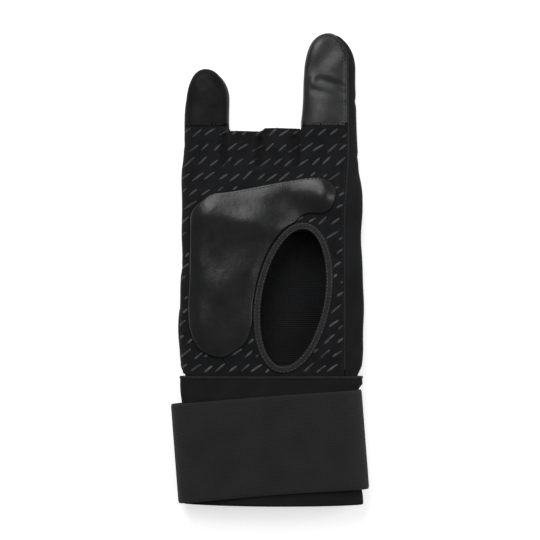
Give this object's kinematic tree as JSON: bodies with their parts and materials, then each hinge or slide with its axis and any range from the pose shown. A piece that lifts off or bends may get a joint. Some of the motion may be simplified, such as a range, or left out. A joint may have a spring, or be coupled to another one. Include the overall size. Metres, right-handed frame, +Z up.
{
  "type": "bowling glove",
  "caption": "Right-hand bowling glove lying palm up, with whole index and little fingers, open stubs between, a bound thumb hole and a wide elastic wrist wrap.",
  "frame": {"origin": "on the table under the middle of the glove's bounding box", "axes": "+Y to the fingertips, +X to the thumb side, +Z up out of the palm; the glove lies on its back"},
  "size_m": [0.127, 0.3014, 0.0254],
  "materials": {
    "grip_fabric": "black knit with slanted raised silicone grip dashes",
    "smooth_leather": "black smooth leather, soft gloss",
    "rib_knit": "fine ribbed stretch knit",
    "suede_fabric": "matt charcoal suede-like microfibre",
    "dark_tape": "woven black binding tape",
    "patch_fabric": "black twill with a stitched border",
    "loop_fabric": "brushed black laminate cloth",
    "grey_tape": "dark grey ribbed binding tape",
    "hook_tape": "black hook tape",
    "elastic_webbing": "charcoal woven elastic with a fine grid"
  },
  "bodies": {
    "root": {"palm_panel": "grip_fabric", "index_leather": "smooth_leather", "little_leather": "smooth_leather", "palm_pad": "smooth_leather", "little_gusset": "rib_knit", "knit_window": "rib_knit", "back_panel": "suede_fabric", "thumb_hole_binding": "dark_tape", "back_patch": "patch_fabric", "side_wing": "loop_fabric", "wing_binding": "grey_tape", "cuff": "loop_fabric", "cuff_flap": "loop_fabric", "flap_binding": "grey_tape", "flap_tab": "grey_tape", "hook_patch": "hook_tape", "wrist_strap": "elastic_webbing"}
  },
  "joints": []
}
